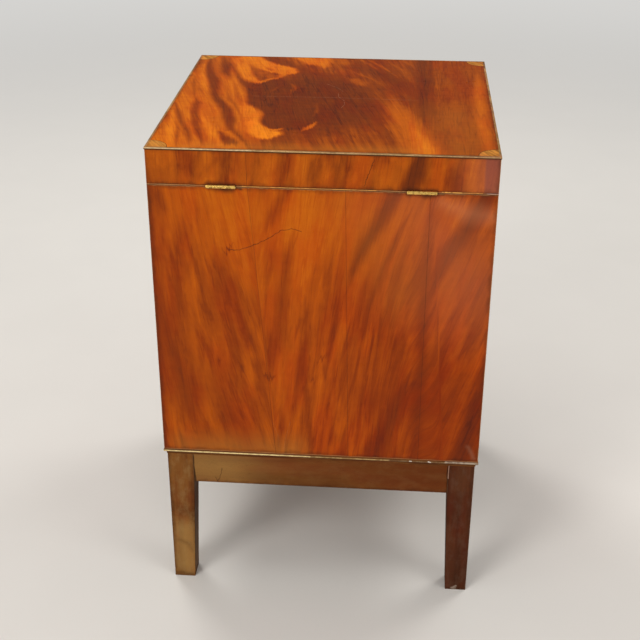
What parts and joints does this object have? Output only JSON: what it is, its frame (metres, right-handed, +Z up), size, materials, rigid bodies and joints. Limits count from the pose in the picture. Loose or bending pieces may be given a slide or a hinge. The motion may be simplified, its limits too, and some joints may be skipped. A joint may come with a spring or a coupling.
{
  "type": "cellarette",
  "caption": "Square veneered bottle case with a hinged lid over egg-crate dividers, screwed to a low stand with tapered square legs.",
  "frame": {"origin": "on the floor, at the centre of the footprint, with the key and the hinge knuckles counted", "axes": "+Z up, -Y towards the front with the lock, +Y towards the hinges at the back, +X to the right as seen from the front"},
  "size_m": [0.459, 0.4878, 0.7],
  "materials": {
    "flame_mahogany": "polished, flame figure",
    "lid_side_veneer": "polished",
    "case_veneer": "polished",
    "satinwood_inlay": "polished",
    "dark_inlay_line": "polished",
    "edge_string": "worn polish",
    "stand_mahogany": "worn polish",
    "worn_moulding": "worn polish",
    "divider_wood": "plain",
    "carcass_wood": "plain",
    "brass": "aged",
    "brass_screws": "aged",
    "steel_screws": "dull",
    "key_steel": "worn"
  },
  "bodies": {
    "cabinet": {"case_bottom": "carcass_wood", "case_to_stand_screws": "steel_screws", "case_veneer_back": "case_veneer", "case_veneer_front": "case_veneer", "case_veneer_left": "case_veneer", "case_veneer_right": "case_veneer", "case_wall_back": "carcass_wood", "case_wall_front": "carcass_wood", "case_wall_left": "carcass_wood", "case_wall_right": "carcass_wood", "corner_blocks": "carcass_wood", "divider_across_1": "divider_wood", "divider_across_2": "divider_wood", "divider_across_3": "divider_wood", "divider_front_to_back_1": "divider_wood", "divider_front_to_back_2": "divider_wood", "divider_front_to_back_3": "divider_wood", "hinge_left_case_leaf": "brass", "hinge_left_pin": "brass", "hinge_right_case_leaf": "brass", "hinge_right_pin": "brass", "hinge_screws_case": "brass_screws", "keyhole_escutcheon": "brass", "leg_back_left": "stand_mahogany", "leg_back_right": "stand_mahogany", "leg_front_left": "stand_mahogany", "leg_front_right": "stand_mahogany", "lock_cap": "brass", "lock_plate": "brass", "lock_screws": "brass_screws", "lock_spring": "key_steel", "rail_back": "stand_mahogany", "rail_front": "stand_mahogany", "rail_left": "stand_mahogany", "rail_right": "stand_mahogany", "stand_moulding_back": "worn_moulding", "stand_moulding_front": "worn_moulding", "stand_moulding_left": "worn_moulding", "stand_moulding_right": "worn_moulding"},
    "lid": {"hinge_left_lid_leaf": "brass", "hinge_right_lid_leaf": "brass", "hinge_screws_lid": "brass_screws", "lid_board": "carcass_wood", "lid_corner_inlays": "satinwood_inlay", "lid_corner_lines": "dark_inlay_line", "lid_edge_string": "edge_string", "lid_rim_back": "carcass_wood", "lid_rim_front": "carcass_wood", "lid_rim_left": "carcass_wood", "lid_rim_right": "carcass_wood", "lid_veneer_back": "lid_side_veneer", "lid_veneer_front": "lid_side_veneer", "lid_veneer_left": "lid_side_veneer", "lid_veneer_right": "lid_side_veneer", "lid_veneer_top": "flame_mahogany", "link_plate": "brass", "link_plate_screws": "brass_screws"},
    "bolt": {"lock_bolt": "brass"},
    "turnkey": {"key": "key_steel"}
  },
  "joints": [
    {"name": "lid_hinge", "type": "hinge", "parent": "cabinet", "child": "lid", "pos_m": [0, 0.2412, 0.6492], "axis": [-1, 0, 0], "range_deg": [0, 105]},
    {"name": "key_turn", "type": "hinge", "parent": "cabinet", "child": "turnkey", "pos_m": [0, -0.217, 0.6232], "axis": [0, 1, 0], "range_deg": [0, 360]},
    {"name": "bolt_slide", "type": "slide", "parent": "cabinet", "child": "bolt", "axis": [1, 0, 0], "range_m": [0, 0.006]}
  ],
  "couplings": [
    {"joint": "bolt_slide", "follows": "key_turn", "m_per_rad": 0.000954}
  ]
}
